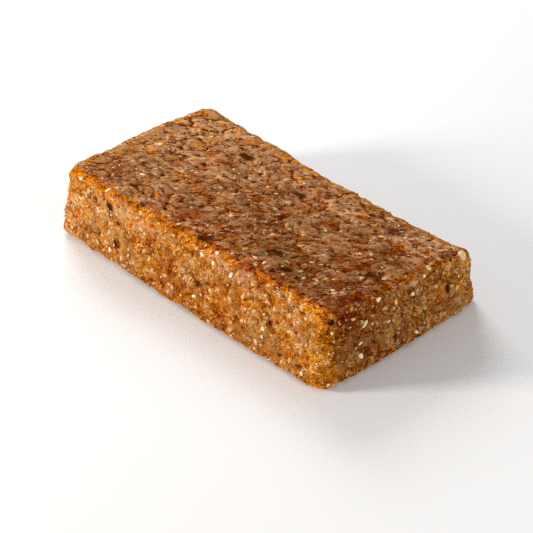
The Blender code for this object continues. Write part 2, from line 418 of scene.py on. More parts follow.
def uneven(point):
    """Moves a point of the regular slab to where it lies on the real, uneven bar."""
    along = 2 * point.x / LENGTH
    across = 2 * point.y / WIDTH
    up = point.z / THICKNESS + 0.5
    foot = between_corners(along, across, "foot")
    top = between_corners(along, across, "top")
    plan = foot.lerp(top, up)
    mid_long = 1 - along * along
    mid_short = 1 - across * across
    front, back = (1 - across) / 2, (1 + across) / 2
    left, right = (1 - along) / 2, (1 + along) / 2
    plan.y -= front * mid_long * (FRONT_FOOT_BULGE + (FRONT_TOP_BULGE - FRONT_FOOT_BULGE) * up)
    plan.x -= left * mid_short * (LEFT_FOOT_BULGE + (LEFT_TOP_BULGE - LEFT_FOOT_BULGE) * up)
    plan.x += right * mid_short * RIGHT_FOOT_BULGE * (1 - up)
    height = between_corners(along, across, "height")
    height += mid_long * (front * FRONT_RISE + back * BACK_RISE) + mid_short * right * RIGHT_RISE
    return Vector((plan.x, plan.y, height * up))


def lumps(point, size):
    """Rounded lumps with creases between them: near 0.5 on a lump and -0.5 in a crease."""
    nearest = noise.voronoi(point / size)[0][0]
    return 0.5 - 1.15 * nearest


def relief(point, normal):
    """The solid's relief: crags on the sides, and dents with flattened grain on the top."""
    topness = max(0.0, normal.z) ** 2
    crags = CRAG_DEPTH * lumps(point, CRAG_SIZE) + GRAIN_DEPTH * lumps(point, GRAIN_SIZE)
    crags *= FOOT_CRAG_SHARE + (1 - FOOT_CRAG_SHARE) * min(1.0, point.z / FOOT_BAND)
    dents = DENT_DEPTH * noise.noise(point / DENT_SIZE)
    dents += TOP_GRAIN_SHARE * (GRAIN_DEPTH + CRAG_DEPTH) * min(0.1, lumps(point, GRAIN_SIZE))
    return crags * (1 - topness) + dents * topness


def smeared(point):
    """The point in the frame of the pressing's smear, in which the marks are round."""
    turned = Matrix.Rotation(-SMEAR_TURN, 3, "Z") @ point
    return Vector((turned.x * SMEAR_LONG, turned.y * SMEAR_NARROW, turned.z))


def fine_relief(point, pressed):
    """What the solid leaves out: a torn, grainy surface on the cut sides, and a rolled one where pressed."""
    point = smeared(point)
    bent = point + noise.noise_vector(point / WARP_SIZE) * WARP_REACH
    rough = noise.fractal(bent / ROUGH_SIZE, ROUGH_KEEPS, ROUGH_FINER, ROUGH_LAYERS)
    grains = lumps(bent, FINE_GRAIN_SIZE)
    pits = PIT_DEPTH * max(0.0, -noise.noise(bent / PIT_SIZE) - PIT_SHARE)
    torn = min(CALM_MOST, max(CALM_LEAST, CALM_MEAN + CALM_SWING * noise.noise(point / CALM_SIZE)))
    rough *= torn
    cut = CUT_ROUGH * rough + CUT_GRAIN * grains * torn - pits
    flat = PRESSED_ROUGH * min(rough, PRESSED_ROUGH_MOST)
    flat += PRESSED_GRAIN * min(PRESSED_FLAT, grains) * torn
    flat -= PRESSED_PITS * pits
    flat += ROLL_DEPTH * noise.noise(bent / ROLL_SIZE)
    return cut * (1 - pressed) + flat * pressed


def crease(point):
    """The folds that rolling and cutting leave: 1 along winding, broken lines and 0 away from them."""
    level = smeared(point)
    level.z *= CREASE_CROWDED_UP
    bent = level + noise.noise_vector(level / CREASE_SIZE) * CREASE_SIZE * CREASE_WIND
    line = max(0.0, 1 - abs(noise.noise(bent / CREASE_SIZE)) / CREASE_SHARE)
    whole = noise.noise(bent / CREASE_SIZE * CREASE_BREAKS + CREASE_BREAKS_FROM)
    return line * min(1.0, max(0.0, CREASE_WHOLE + CREASE_SHARPLY * whole))


def shown_cracks(points):
    """The cracks that show, for many points at once: 1 along the middle, and 0 from CRACK_REACH outwards."""
    bent = np.array([point + noise.noise_vector(point / WARP_SIZE) * CRACK_REACH for point in points])
    nearest = np.full(len(bent), CRACK_REACH)
    for line in SHOWN_CRACKS:
        spots = [np.array(uneven(rounded_slab(Vector(place)))) for place in line]
        for start, end in zip(spots, spots[1:]):
            run = end - start
            share = np.clip((bent - start) @ run / (run @ run), 0, 1)
            nearest = np.minimum(nearest, np.linalg.norm(bent - start - share[:, None] * run, axis=1))
    return 1 - nearest / CRACK_REACH


def crowd(share):
    """Moves a place between -1 and 1 towards the nearer end, where the rounded edges need more cells."""
    return share + EDGE_CROWDING * share * (1 - share * share)


def edge_share(place):
    """How near a place on the cube is to a top or upright edge: 1 on it, and 0 from EDGE_BAND inwards."""
    reach = (LENGTH / 2, WIDTH / 2, THICKNESS / 2)
    ends = (abs(place.x), abs(place.y), place.z)
    return sorted(max(0.0, 1 - (1 - end) * half / EDGE_BAND) for end, half in zip(ends, reach))[1]


def lit_share(place, edge):
    """How much painted light an edge takes: a painted glow on the left and back edges, as if light came
    through them, and a painted highlight on the front lip.
    """
    if place.y > 0.8 or (place.x < -0.9 and place.z > 0):
        return edge
    on_lip = place.y < -0.8 and place.z > 0 and abs(place.x) < LIP_ENDS
    return LIP_HIGHLIGHT * max(0.0, edge - LIP_FROM) / (1 - LIP_FROM) if on_lip else 0.0


def shade_contrast(place):
    """How strong the mash's shades are at a place: they gain along the top and on the right end."""
    if place.z > 0.99:
        return CONTRAST_TOP + CONTRAST_ALONG * place.x - CONTRAST_FRONT * place.y
    return CONTRAST_CUT + CONTRAST_END * max(0.0, 10 * place.x - 9)


def level_underside(bm):
    """Joins the level faces of the underside, which need no fine cells."""
    level = [f for f in bm.faces if all(v.co.z < LEVEL for v in f.verts)]
    bmesh.ops.dissolve_faces(bm, faces=level, use_verts=True)
    bmesh.ops.triangulate(bm, faces=[f for f in bm.faces if len(f.verts) > 4])


def smoothed(points, pairs, rounds):
    """The points after each has moved halfway to the middle of its neighbours, a number of times."""
    count = len(points)
    near, far = pairs[:, 0], pairs[:, 1]
    neighbours = np.bincount(pairs.ravel(), minlength=count)[:, None]
    for _ in range(rounds):
        total = np.zeros((count, 3))
        for axis in range(3):
            total[:, axis] = np.bincount(near, points[far, axis], count)
            total[:, axis] += np.bincount(far, points[near, axis], count)
        points = (points + total / neighbours) / 2
    return points


def spot_mask(points, spots):
    """How near each point is to the nearest of some spots: 1 at its middle and 0 from its rim outwards."""
    mask = np.zeros(len(points))
    for place, length, width in spots:
        middle = np.array(uneven(rounded_slab(Vector(place))) - BOX_MIDDLE)
        across = (width, length, width) if abs(place[0]) == 1.0 else (length, width, width)
        away = np.linalg.norm((points - middle) / (np.array(across) / 2), axis=1)
        mask = np.maximum(mask, 1 - away)
    return mask


def store(mesh, name, values):
    attribute = mesh.attributes.new(name, "FLOAT", "POINT")
    attribute.data.foreach_set("value", np.asarray(values, np.float32))


def store_shading(mesh):
    """Stores how far each point stands above or below the surface round it, and where the set places lie."""
    count = len(mesh.vertices)
    points, normals = np.zeros(count * 3), np.zeros(count * 3)
    pairs = np.zeros(len(mesh.edges) * 2, np.int32)
    mesh.vertices.foreach_get("co", points)
    mesh.vertices.foreach_get("normal", normals)
    mesh.edges.foreach_get("vertices", pairs)
    points, normals, pairs = points.reshape(-1, 3), normals.reshape(-1, 3), pairs.reshape(-1, 2)
    for name, rounds, depth in (("lift_near", NEAR_ROUNDS, LIFT_NEAR), ("lift_wide", WIDE_ROUNDS, LIFT_WIDE)):
        lift = np.sum((points - smoothed(points, pairs, rounds)) * normals, axis=1) / depth
        lift[points[:, 2] < LEVEL] = 0.0
        store(mesh, name, np.clip(lift, -1, 1))
    masks = {
        "dark_spot": SHOWN_DARKS,
        "nutty": SHOWN_NUTTY,
        "dated": SHOWN_DATED,
        "paler_and_sheen": SHOWN_PALER_AND_SHEEN,
        "painted_upright_glow": SHOWN_UPRIGHT_GLOW,
    }
    for name, spots in masks.items():
        store(mesh, name, spot_mask(points, spots))
    tone_and_light_shift = np.zeros(count)
    for place, length, width, change in SHOWN_TONE_AND_LIGHT:
        tone_and_light_shift += spot_mask(points, ((place, length, width),)) * change
    store(mesh, "tone_and_light_shift", tone_and_light_shift)


def paste_mesh():
    """The bar's own surface, with what its material reads at each point, such as pressed, edge and crease."""
    noise.seed_set(SEED)
    bm = bmesh.new()
    bmesh.ops.create_cube(bm, size=2.0)
    for axis, cells in enumerate(CELLS):
        along = [e for e in bm.edges if abs((e.verts[0].co - e.verts[1].co)[axis]) > 0.01]
        bmesh.ops.subdivide_edges(bm, edges=along, cuts=cells - 1, use_grid_fill=True)
    edge_layer = bm.verts.layers.float.new("edge")
    lit_layer = bm.verts.layers.float.new("lit")
    contrast_layer = bm.verts.layers.float.new("contrast")
    pressed_layer = bm.verts.layers.float.new("pressed")
    crease_layer = bm.verts.layers.float.new("crease")
    for vert in bm.verts:
        place = Vector(crowd(share) for share in vert.co)
        vert[edge_layer] = edge_share(place)
        vert[lit_layer] = lit_share(place, vert[edge_layer])
        vert[contrast_layer] = shade_contrast(place)
        vert.co = uneven(rounded_slab(place))
    bm.normal_update()
    moved = []
    cracks = shown_cracks([vert.co for vert in bm.verts])
    for vert, crack in zip(bm.verts, cracks):
        pressed = min(1.0, max(0.0, abs(vert.normal.z) * PRESSED_GAIN - PRESSED_LESS))
        vert[pressed_layer] = pressed
        depth = 0.0
        if vert.co.z > STILL_BELOW:
            fold = max(crease(vert.co), crack)
            vert[crease_layer] = fold
            depth = relief(vert.co, vert.normal) + fine_relief(vert.co, pressed) - CREASE_DEPTH * fold
        moved.append(vert.co + vert.normal * depth)
    for vert, place in zip(bm.verts, moved):
        place.z = max(0.0, place.z)
        vert.co = place - BOX_MIDDLE
    level_underside(bm)
    mesh = bpy.data.meshes.new("bar_paste")
    bm.to_mesh(mesh)
    bm.free()
    store_shading(mesh)
    mesh.shade_smooth()
    return mesh


def srgb(code):
    """A colour given by its sRGB hex value, as the linear values that shaders work in."""
    channels = [int(code[i:i + 2], 16) / 255 for i in (1, 3, 5)]
    return [c / 12.92 if c <= 0.04045 else ((c + 0.055) / 1.055) ** 2.4 for c in channels] + [1.0]


def add_node(tree, kind, inputs=None, stops=None, **settings):
    """Adds a node with its settings, its ramp's stops, and a value or a link at each named input."""
    node = tree.nodes.new("ShaderNode" + kind)
    for name, value in settings.items():
        setattr(node, name, value)
    if stops:
        ramp = node.color_ramp.elements
        while len(ramp) < len(stops):
            ramp.new(1.0)
        for element, (place, code) in zip(ramp, stops):
            element.position = place
            element.color = srgb(code)
    for socket, value in (inputs or {}).items():
        if isinstance(value, bpy.types.NodeSocket):
            tree.links.new(value, node.inputs[socket])
        else:
            node.inputs[socket].default_value = value
    return node


def new_material(name):
    material = bpy.data.materials.new(name)
    material.use_nodes = True
    return material, material.node_tree, material.node_tree.nodes["Principled BSDF"]


def millimetres(tree):
    """The object's own coordinates in millimetres, so that a pattern's scale is one over its real size."""
    place = add_node(tree, "TexCoord").outputs["Object"]
    return add_node(tree, "VectorMath", {0: place, "Scale": 1 / MM}, operation="SCALE").outputs[0]


def blobs(tree, place, size, share, reach, softness):
    """A mask of scattered blobs: a share of the cells of one size hold one, which fades out at its reach."""
    cells = add_node(tree, "TexVoronoi", {"Vector": place, "Scale": 1 / size})
    draw = add_node(tree, "SeparateColor", {"Color": cells.outputs["Color"]})
    holds = add_node(tree, "Math", {0: draw.outputs["Red"], 1: share}, operation="LESS_THAN")
    inside = add_node(tree, "MapRange", {0: cells.outputs["Distance"], 1: reach, 2: reach - softness})
    mask = add_node(tree, "Math", {0: holds.outputs[0], 1: inside.outputs[0]}, operation="MULTIPLY")
    return mask.outputs[0]


def tint(tree, under, mask, strength, over):
    """A colour, given as a hex value or a link, laid over another where a mask is set, as strong as given."""
    share = add_node(tree, "Math", {0: mask, 1: strength}, operation="MULTIPLY", use_clamp=True)
    colour = srgb(over) if isinstance(over, str) else over
    return add_node(tree, "Mix", {0: share.outputs[0], 6: under, 7: colour}, data_type="RGBA").outputs[2]


def date_paste():
    """Date paste with ground nuts, cold pressed: sticky and slightly see-through.

    The cut sides are an amber mass with soft cream and orange grains. The top is rolled to a duller, pinkish
    film with thin crevices, darkened deep brown by painted shade. A painted orange glow lies in the hollows
    and folds and along the edges, with a painted highlight on the front lip.
    """
    material, tree, shader = new_material("date_paste_pressed")
    place = millimetres(tree)
    pressed = add_node(tree, "Attribute", attribute_name="pressed").outputs["Fac"]
    edge = add_node(tree, "Attribute", attribute_name="edge").outputs["Fac"]
    lit = add_node(tree, "Attribute", attribute_name="lit").outputs["Fac"]
    near = add_node(tree, "Attribute", attribute_name="lift_near").outputs["Fac"]
    wide = add_node(tree, "Attribute", attribute_name="lift_wide").outputs["Fac"]
    fold = add_node(tree, "Attribute", attribute_name="crease").outputs["Fac"]

    # The frame of the smear, and the same frame bent, so that no grain lies in line with the next
    turned = add_node(tree, "VectorRotate", {"Vector": place, "Angle": -SMEAR_TURN}, rotation_type="Z_AXIS")
    grain = add_node(tree, "VectorMath", {0: turned.outputs[0], 1: (SMEAR_LONG, SMEAR_NARROW, 1.1)},
                     operation="MULTIPLY").outputs[0]
    drift = add_node(tree, "TexNoise", {"Vector": grain, "Scale": 1 / SMEAR_WAVE, "Detail": 4.0,
                                        "Roughness": 0.6})
    bend = add_node(tree, "VectorMath", {0: drift.outputs["Color"], 1: (0.5, 0.5, 0.5)}, operation="SUBTRACT")
    bend = add_node(tree, "VectorMath", {0: bend.outputs[0], "Scale": SMEAR_REACH}, operation="SCALE")
    bent = add_node(tree, "VectorMath", {0: grain, 1: bend.outputs[0]}, operation="ADD").outputs[0]

    # The patterns
    specks = add_node(tree, "TexNoise", {"Vector": grain, "Scale": 1 / GROUND_NUT, "Detail": 4.0,
                                         "Roughness": 0.75})
    mash = add_node(tree, "TexNoise", {"Vector": bent, "Scale": 1 / MASH_LUMP, "Detail": 3.0,
                                       "Roughness": 0.6})
    syrup = add_node(tree, "TexNoise", {"Vector": bent, "Scale": 1 / SYRUP_STREAK, "Detail": 2.0,
                                        "Distortion": 0.6})
    dates = add_node(tree, "TexNoise", {"Vector": bent, "Scale": 1 / DATE_SHRED, "Detail": 3.0,
                                        "Distortion": 0.4})
    patches = add_node(tree, "TexNoise", {"Vector": place, "Scale": 1 / DULL_PATCH, "Detail": 4.0,
                                          "Roughness": 0.6})
    broken = add_node(tree, "TexNoise", {"Vector": place, "Scale": 1 / WET_PATCH, "Detail": 2.0})
    cracks = add_node(tree, "TexNoise", {"Vector": bent, "Scale": 1 / HAIR_CRACK, "Detail": 2.0,
                                         "Roughness": 0.4})
    facets = add_node(tree, "TexVoronoi", {"Vector": bent, "Scale": 1 / WET_FACET})
    shards = add_node(tree, "TexVoronoi", {"Vector": bent, "Scale": 1 / NUT_SHARD})
    shards = add_node(tree, "SeparateColor", {"Color": shards.outputs["Color"]})
    grains = add_node(tree, "TexVoronoi", {"Vector": bent, "Scale": 1 / NUT_GRAIN})

    # The shade at each point, from dark to pale: ground nut and mash, with single shards and grains
    tone = add_node(tree, "Mix", {0: 0.4, 2: specks.outputs["Fac"], 3: mash.outputs["Fac"]}).outputs[0]
    for cells, differs in ((shards.outputs["Red"], SHARD_DIFFERS), (grains.outputs["Color"], GRAIN_DIFFERS)):
        drawn = add_node(tree, "Math", {0: cells, 1: differs, 2: -differs / 2}, operation="MULTIPLY_ADD")
        tone = add_node(tree, "Math", {0: tone, 1: drawn.outputs[0]}, operation="ADD").outputs[0]
    busy = add_node(tree, "TexNoise", {"Vector": grain, "Scale": 1 / BUSY_PATCH, "Detail": 2.0})
    busy = add_node(tree, "MapRange", {0: busy.outputs["Fac"], 1: 0.35, 2: 0.65, 3: 0.5, 4: 1.3}).outputs[0]
    contrast = add_node(tree, "Attribute", attribute_name="contrast").outputs["Fac"]
    busy = add_node(tree, "Math", {0: busy, 1: contrast}, operation="MULTIPLY").outputs[0]
    tone = add_node(tree, "Math", {0: tone, 1: 0.5}, operation="SUBTRACT").outputs[0]
    tone = add_node(tree, "Math", {0: tone, 1: busy}, operation="MULTIPLY").outputs[0]
    top_tone = add_node(tree, "Math", {0: tone, 1: 0.75, 2: 0.5}, operation="MULTIPLY_ADD").outputs[0]
    tone = add_node(tree, "Math", {0: tone, 1: CUT_MIDDLE}, operation="ADD").outputs[0]
    # The mash's own tone by place, with painted light and shade
    tone_and_light_shift = add_node(tree, "Attribute", attribute_name="tone_and_light_shift").outputs["Fac"]
    tone = add_node(tree, "Math", {0: tone, 1: tone_and_light_shift}, operation="ADD").outputs[0]
    cut = add_node(tree, "ValToRGB", {"Fac": tone}, stops=(
        (0.33, "#6E2A04"), (0.38, "#8E460E"), (0.44, "#A46822"), (0.5, "#B28044"), (0.56, "#C29660"),
        (0.62, "#D0AC80"), (0.71, "#E6CAA4"))).outputs[0]
    top_tone = add_node(tree, "Math", {0: top_tone, 1: tone_and_light_shift}, operation="ADD").outputs[0]
    # Painted light and shade on the top: lighter on what stands up, darker in the dents; then the top's own
    # blotches
    painted_relief_shade = add_node(tree, "MapRange", {0: wide, 1: -0.6, 2: 0.6, 3: -0.03, 4: 0.03}).outputs[0]
    blotch = add_node(tree, "MapRange", {0: patches.outputs["Fac"], 1: 0.38, 2: 0.66, 3: 0.05, 4: -0.09})
    for change in (painted_relief_shade, blotch.outputs[0]):
        top_tone = add_node(tree, "Math", {0: top_tone, 1: change}, operation="ADD").outputs[0]
    top = add_node(tree, "ValToRGB", {"Fac": top_tone}, stops=(
        (0.33, "#4A1604"), (0.38, "#6E3E1C"), (0.43, "#8E603A"), (0.5, "#AC7C54"), (0.56, "#BE8E62"),
        (0.62, "#D2A274"), (0.71, "#EAC698"))).outputs[0]
    # The orange ramp for the syrup and for the painted glow: deeper on the top, and paler on the lit edges
    # for their painted light
    syrup_tone = add_node(tree, "Math", {0: pressed, 1: -0.06, 2: tone}, operation="MULTIPLY_ADD").outputs[0]
    syrup_tone = add_node(tree, "Math", {0: lit, 1: 0.05, 2: syrup_tone}, operation="MULTIPLY_ADD").outputs[0]
    orange = add_node(tree, "ValToRGB", {"Fac": syrup_tone}, stops=(
        (0.34, "#6C1C00"), (0.41, "#9A4600"), (0.5, "#C46E06"), (0.57, "#D88A18"), (0.63, "#E6A03C"),
        (0.70, "#F4C082"))).outputs[0]
    mixed = add_node(tree, "Mix", {0: pressed, 6: cut, 7: top}, data_type="RGBA").outputs[2]

    # Redder date and orange syrup in the mash, the set stretches, a painted orange glow in the folds, along
    # the edges and by the near upright edge, as if light showed through the paste there, and the dark spots
    date = add_node(tree, "Math", {0: shards.outputs["Blue"], 1: 0.3, 2: dates.outputs["Fac"]},
                    operation="MULTIPLY_ADD")
    date = add_node(tree, "MapRange", {0: date.outputs[0], 1: 0.54, 2: 0.48}).outputs[0]
    mixed = tint(tree, mixed, date, 0.7, "#8A4018")
    sweet = add_node(tree, "Math", {0: shards.outputs["Green"], 1: 0.3, 2: syrup.outputs["Fac"]},
                     operation="MULTIPLY_ADD")
    sweet = add_node(tree, "MapRange", {0: sweet.outputs[0], 1: 0.70, 2: 0.77}).outputs[0]
    sweet_most = add_node(tree, "MapRange", {0: pressed, 3: 0.9, 4: 0.25}).outputs[0]
    sweet = add_node(tree, "Math", {0: sweet, 1: sweet_most}, operation="MULTIPLY").outputs[0]
    duller = add_node(tree, "MapRange", {0: contrast, 1: 1.0, 2: 1.0 + CONTRAST_END, 3: 1.0, 4: 0.5})
    sweet = add_node(tree, "Math", {0: sweet, 1: duller.outputs[0]}, operation="MULTIPLY").outputs[0]
    stretches = (("nutty", 0.7, "#A47E48"), ("dated", 0.6, "#9C4A18"), ("paler_and_sheen", 0.7, "#E2AC7A"))
    for name, strength, code in stretches:
        region = add_node(tree, "Attribute", attribute_name=name)
        mixed = tint(tree, mixed, region.outputs["Fac"], strength, code)
    mixed = tint(tree, mixed, sweet, 0.72, orange)
    # Painted glow in the folds, as if light showed through the paste there
    mixed = tint(tree, mixed, fold, 0.65, orange)
    # Painted glow along the edges, strongest on the lit left and back edges, broken by the date pattern
    ragged = add_node(tree, "MapRange", {0: dates.outputs["Fac"], 1: 0.3, 2: 0.7, 3: -0.5, 4: 0.5})
    painted_rim_glow = add_node(tree, "Math", {0: edge, 1: ragged.outputs[0]}, operation="ADD")
    painted_rim_glow = add_node(tree, "Math", {0: lit, 1: 0.3, 2: painted_rim_glow.outputs[0]}, operation="MULTIPLY_ADD")
    painted_rim_glow = add_node(tree, "MapRange", {0: painted_rim_glow.outputs[0], 1: 0.35, 2: 1.05}).outputs[0]
    mixed = tint(tree, mixed, painted_rim_glow, 1.0, orange)
    # Painted glow by the near upright edge
    painted_upright_glow = add_node(tree, "Attribute", attribute_name="painted_upright_glow").outputs["Fac"]
    painted_upright_glow = add_node(tree, "Math", {0: painted_upright_glow, 1: ragged.outputs[0]}, operation="ADD")
    painted_upright_glow = add_node(tree, "MapRange", {0: painted_upright_glow.outputs[0], 1: 0.1, 2: 0.5}).outputs[0]
    mixed = tint(tree, mixed, painted_upright_glow, 1.0, orange)
    dark_spot = add_node(tree, "Attribute", attribute_name="dark_spot").outputs["Fac"]
    uneven_rim = add_node(tree, "Math", {0: ragged.outputs[0], 1: 2.0, 2: 1.0}, operation="MULTIPLY_ADD")
    dark_spot = add_node(tree, "Math", {0: dark_spot, 1: uneven_rim.outputs[0]}, operation="MULTIPLY")
    dark_spot = add_node(tree, "MapRange", {0: dark_spot.outputs[0], 1: 0.0, 2: 0.6}).outputs[0]
    mixed = tint(tree, mixed, dark_spot, 0.94, "#2E160C")

    # Thin cracks and small holes; a painted orange glow in the hollows, as if light showed through the paste;
    # and painted shade that darkens the hollows, cracks, holes and folds with their depth
    line = add_node(tree, "Math", {0: cracks.outputs["Fac"], 1: 0.5}, operation="SUBTRACT")
    line = add_node(tree, "Math", {0: line.outputs[0]}, operation="ABSOLUTE")
    line = add_node(tree, "MapRange", {0: line.outputs[0], 1: 0.028, 2: 0.014})
    open_crack = add_node(tree, "MapRange", {0: mash.outputs["Fac"], 1: 0.54, 2: 0.46}).outputs[0]
    crack = add_node(tree, "Math", {0: line.outputs[0], 1: open_crack}, operation="MULTIPLY").outputs[0]
    pits = blobs(tree, bent, SMALL_HOLE, 0.6, 0.32, 0.10)
    pits = add_node(tree, "Math", {0: pits, 1: pressed}, operation="MULTIPLY").outputs[0]
    crack = add_node(tree, "Math", {0: crack, 1: pits}, operation="MAXIMUM").outputs[0]
    hollow = add_node(tree, "Mix", {0: 0.4, 2: near, 3: wide})
    # Painted glow in the hollows: orange where light would show through the paste, browner on the top
    amber = add_node(tree, "MapRange", {0: hollow.outputs[0], 1: -0.1, 2: -0.6}).outputs[0]
    soaked = add_node(tree, "MapRange", {0: pressed, 3: 0.5, 4: 0.8}).outputs[0]
    amber = add_node(tree, "Math", {0: amber, 1: soaked}, operation="MULTIPLY").outputs[0]
    sunk = add_node(tree, "Mix", {0: pressed, 6: orange, 7: srgb("#8E4606")}, data_type="RGBA").outputs[2]
    mixed = tint(tree, mixed, amber, 1.0, sunk)
    # Painted shade: the hollows, cracks, small holes and deep folds darkened to deep brown with their depth
    shade = add_node(tree, "MapRange", {0: hollow.outputs[0], 1: -0.4, 2: -1.0}).outputs[0]
    dark = add_node(tree, "Math", {0: shade, 1: crack}, operation="MAXIMUM").outputs[0]
    fold_deep = add_node(tree, "MapRange", {0: fold, 1: 0.55, 2: 1.0, 4: 0.7}).outputs[0]
    dark = add_node(tree, "Math", {0: dark, 1: fold_deep}, operation="MAXIMUM").outputs[0]
    depth = add_node(tree, "MapRange", {0: pressed, 3: 0.55, 4: 1.0}).outputs[0]
    deep = add_node(tree, "Math", {0: dark, 1: depth}, operation="MULTIPLY").outputs[0]
    mixed = tint(tree, mixed, deep, 1.0, "#4E1800")
    flakes = add_node(tree, "MapRange", {0: pressed, 3: 0.16, 4: 0.08}).outputs[0]
    mixed = tint(tree, mixed, blobs(tree, bent, LARGE_FLAKE, flakes, 0.36, 0.16), 0.8, "#E4C48E")
    mixed = tint(tree, mixed, blobs(tree, bent, SMALL_FLAKE, flakes, 0.4, 0.2), 0.8, "#F0D8A8")
    tree.links.new(mixed, shader.inputs["Base Color"])

    # Sticky patches that glint on single small facets, and the fine bump
    shader.inputs["Roughness"].default_value = 0.5
    shader.inputs["Specular IOR Level"].default_value = 0.0
    covered = add_node(tree, "Math", {0: dark, 1: amber}, operation="MAXIMUM").outputs[0]
    covered = add_node(tree, "Math", {0: covered, 1: dark_spot}, operation="MAXIMUM").outputs[0]
    open_face = add_node(tree, "MapRange", {0: covered, 1: 0.0, 2: 0.5, 3: 1.0, 4: 0.0}).outputs[0]
    wet = add_node(tree, "Math", {0: edge, 1: 0.12, 2: broken.outputs["Fac"]}, operation="MULTIPLY_ADD")
    wet = add_node(tree, "MapRange", {0: wet.outputs[0], 1: 0.48, 2: 0.62, 4: 0.55})
    wet = add_node(tree, "Math", {0: wet.outputs[0], 1: open_face}, operation="MULTIPLY")
    dry = add_node(tree, "MapRange", {0: pressed, 3: 1.0, 4: 0.25})
    wet = add_node(tree, "Math", {0: wet.outputs[0], 1: dry.outputs[0]}, operation="MULTIPLY")
    tree.links.new(wet.outputs[0], shader.inputs["Coat Weight"])
    shader.inputs["Coat Roughness"].default_value = 0.16
    height = add_node(tree, "Math", {0: mash.outputs["Fac"], 1: 1.5, 2: specks.outputs["Fac"]},
                      operation="MULTIPLY_ADD")
    height = add_node(tree, "Math", {0: crack, 1: -0.4, 2: height.outputs[0]}, operation="MULTIPLY_ADD")
    strength = add_node(tree, "MapRange", {0: pressed, 3: 0.85, 4: 0.4}).outputs[0]
    strength = add_node(tree, "Math", {0: strength, 1: contrast}, operation="MULTIPLY").outputs[0]
    bump = add_node(tree, "Bump", {"Height": height.outputs[0], "Strength": strength,
                                   "Distance": BUMP_HEIGHT})
    tree.links.new(bump.outputs[0], shader.inputs["Normal"])
    facet = add_node(tree, "VectorMath", {0: facets.outputs["Color"], 1: (0.5, 0.5, 0.5)},
                     operation="SUBTRACT")
    facet = add_node(tree, "VectorMath", {0: facet.outputs[0], "Scale": 0.7}, operation="SCALE")
    facet = add_node(tree, "VectorMath", {0: facet.outputs[0], 1: bump.outputs[0]}, operation="ADD")
    facet = add_node(tree, "VectorMath", {0: facet.outputs[0]}, operation="NORMALIZE")
    tree.links.new(facet.outputs[0], shader.inputs["Coat Normal"])
    return material


def crumb_material(name, stops, roughness, subsurface, coat):
    """A kind of crumb: each takes its shade from the ramp, with fine mottling, and has paste on its foot."""
    material, tree, shader = new_material(name)
    place = millimetres(tree)
    shade = add_node(tree, "Attribute", attribute_name="shade").outputs["Fac"]
    stand = add_node(tree, "Attribute", attribute_name="stand").outputs["Fac"]
    mottle = add_node(tree, "TexNoise", {"Vector": place, "Scale": 1 / CRUMB_MOTTLE, "Detail": 4.0,
                                         "Roughness": 0.7})
    drift = add_node(tree, "MapRange", {0: mottle.outputs["Fac"], 1: 0.3, 2: 0.7, 3: -0.2, 4: 0.2})
    draw = add_node(tree, "Math", {0: shade, 1: drift.outputs[0]}, operation="ADD", use_clamp=True)
    colour = add_node(tree, "ValToRGB", {"Fac": draw.outputs[0]}, stops=stops)
    smear = add_node(tree, "TexNoise", {"Vector": place, "Scale": 1 / CRUMB_SMEAR, "Detail": 2.0})
    smear = add_node(tree, "MapRange", {0: smear.outputs["Fac"], 1: 0.3, 2: 0.7, 3: -0.5, 4: 0.5})
    bare = add_node(tree, "Math", {0: stand, 1: smear.outputs[0]}, operation="ADD")
    bare = add_node(tree, "MapRange", {0: bare.outputs[0], 1: 0.2, 2: 0.7}).outputs[0]
    mixed = add_node(tree, "Mix", {0: bare, 6: srgb("#9A5414"), 7: colour.outputs[0]}, data_type="RGBA")
    tree.links.new(mixed.outputs[2], shader.inputs["Base Color"])
    bump = add_node(tree, "Bump", {"Height": mottle.outputs["Fac"], "Strength": 0.6,
                                   "Distance": CRUMB_BUMP_HEIGHT})
    tree.links.new(bump.outputs[0], shader.inputs["Normal"])
    shader.inputs["Roughness"].default_value = roughness
    shader.inputs["Specular IOR Level"].default_value = 0.1
    shader.inputs["Subsurface Weight"].default_value = subsurface
    shader.inputs["Subsurface Radius"].default_value = (1.0, 0.5, 0.2)
    shader.inputs["Subsurface Scale"].default_value = 0.6 * MM
    shader.inputs["Coat Weight"].default_value = coat
    shader.inputs["Coat Roughness"].default_value = 0.12
    return material


def nut_points(length, width, thickness, rng):
    """Points spread round a flattened egg, each pushed in a little, whose hull is a piece of chopped nut."""
    golden = pi * (3 - sqrt(5))
    spots = []
    for i in range(NUT_POINTS):
        level = 1 - 2 * (i + 0.5) / NUT_POINTS
        ring = sqrt(1 - level * level)
        reach = rng.uniform(0.82, 1.0)
        turn = i * golden + rng.uniform(-0.2, 0.2)
        spot = Vector((ring * cos(turn) * length, ring * sin(turn) * width, level * thickness))
        spots.append(spot * reach / 2)
    return spots


def nut_places(rng):
    """The listed pieces, then places drawn so that each lies clear of the ones before it."""
    places = [(uneven(rounded_slab(Vector(spot))), length, width) for spot, length, width in SHOWN_NUTS]
    long_share = LENGTH / (LENGTH + WIDTH)

    def draw(on_top):
        a, b = rng.uniform(-0.97, 0.97), rng.uniform(-0.93, 0.93)
        if on_top:
            return Vector((a, b, 1))
        side = rng.choice((-1, 1))
        level = rng.uniform(-0.72, 0.9)
        return Vector((a, side, level)) if rng.random() < long_share else Vector((side, b, level))

    for wanted, on_top in ((NUTS_ON_SIDES, False), (NUTS_ON_TOP, True)):
        goal = len(places) + wanted
        while len(places) < goal:
            spot = uneven(rounded_slab(draw(on_top)))
            if all((spot - other[0]).length > NUT_SPACING for other in places):
                length = rng.uniform(*NUT_LENGTH)
                places.append((spot, length, length * rng.uniform(0.5, 0.85)))
    return places


